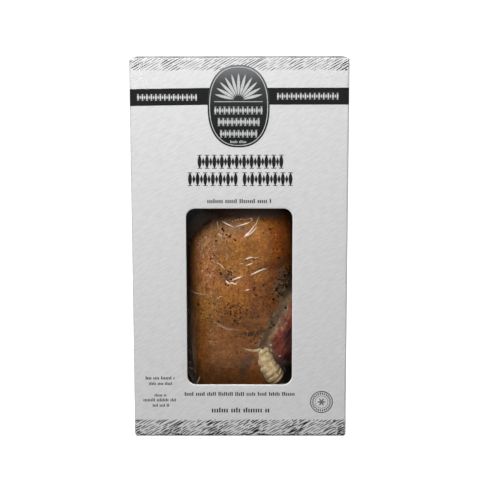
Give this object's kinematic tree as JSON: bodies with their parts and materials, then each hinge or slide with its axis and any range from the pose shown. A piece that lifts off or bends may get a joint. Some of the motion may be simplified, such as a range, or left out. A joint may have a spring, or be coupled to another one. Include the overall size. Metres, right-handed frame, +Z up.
{
  "type": "boxed roast half duck",
  "caption": "Upright folded board box with a rounded window, holding a roast half duck in a clear-fronted vacuum pouch on a black web.",
  "frame": {"origin": "middle of the box's base, on the surface it stands on", "axes": "+Z up along the box's height, -Y out of the front panel with the window, +X to the right seen from the front"},
  "size_m": [0.19, 0.064, 0.338],
  "materials": {
    "board": "satin",
    "black_web": "gloss",
    "duck_skin": "gloss"
  },
  "bodies": {
    "root": {"carton": "board", "black_web": "black_web", "bagged_half_duck": "duck_skin"}
  },
  "joints": []
}
